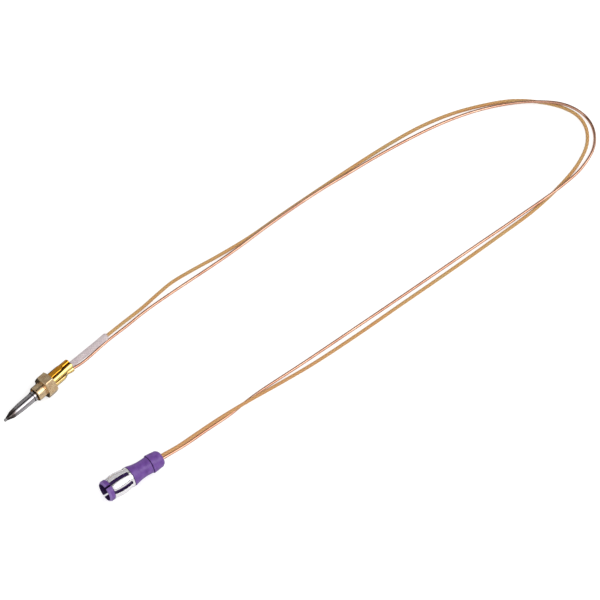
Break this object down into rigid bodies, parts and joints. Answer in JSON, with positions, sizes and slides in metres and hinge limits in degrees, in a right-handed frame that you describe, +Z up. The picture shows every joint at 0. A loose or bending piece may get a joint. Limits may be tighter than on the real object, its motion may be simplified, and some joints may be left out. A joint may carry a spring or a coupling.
{
  "type": "thermocouple",
  "caption": "Gas hob thermocouple: a tapered hot-tip probe with a hex bush and crimp, two long leads and a coaxial push-in plug with a spring cage.",
  "frame": {"origin": "on the surface that the probe lies on, below the middle of the probe from its weld bead to its crimp end", "axes": "+X along the probe towards its hot tip, +Z up, +Y towards the side where the plug lies"},
  "size_m": [0.2999, 0.094, 0.0111],
  "materials": {
    "steel": "bright turned heat-resisting steel",
    "oxidised_steel": "grey weld bead with heat oxide",
    "brass": "matte turned brass",
    "passivated_brass": "glossy yellow passivated brass",
    "copper": "bright drawn copper",
    "constantan": "drawn copper-nickel wire",
    "ceramic": "unglazed ceramic",
    "glass_fibre": "light grey braided glass fibre",
    "tan_braid": "tan varnished glass braid",
    "purple_plastic": "satin moulded purple plastic",
    "nickel_plate": "bright nickel plated spring strip",
    "tin_plate": "dull tin plate"
  },
  "bodies": {
    "root": {"hot_junction_bead": "oxidised_steel", "tip_sheath": "steel", "root_ring": "steel", "hex_bush": "brass", "crimp_tube": "passivated_brass", "constantan_core": "constantan", "core_insulator": "ceramic", "splice_barrel": "tin_plate", "lead_core_probe_end": "copper", "glass_sleeve": "glass_fibre", "insulated_lead": "tan_braid", "bare_copper_lead": "copper", "plug_body": "purple_plastic", "plug_rear_cap": "purple_plastic", "spring_cage": "nickel_plate", "centre_contact": "tin_plate", "earth_strip": "nickel_plate", "lead_core_plug_end": "copper"}
  },
  "joints": []
}
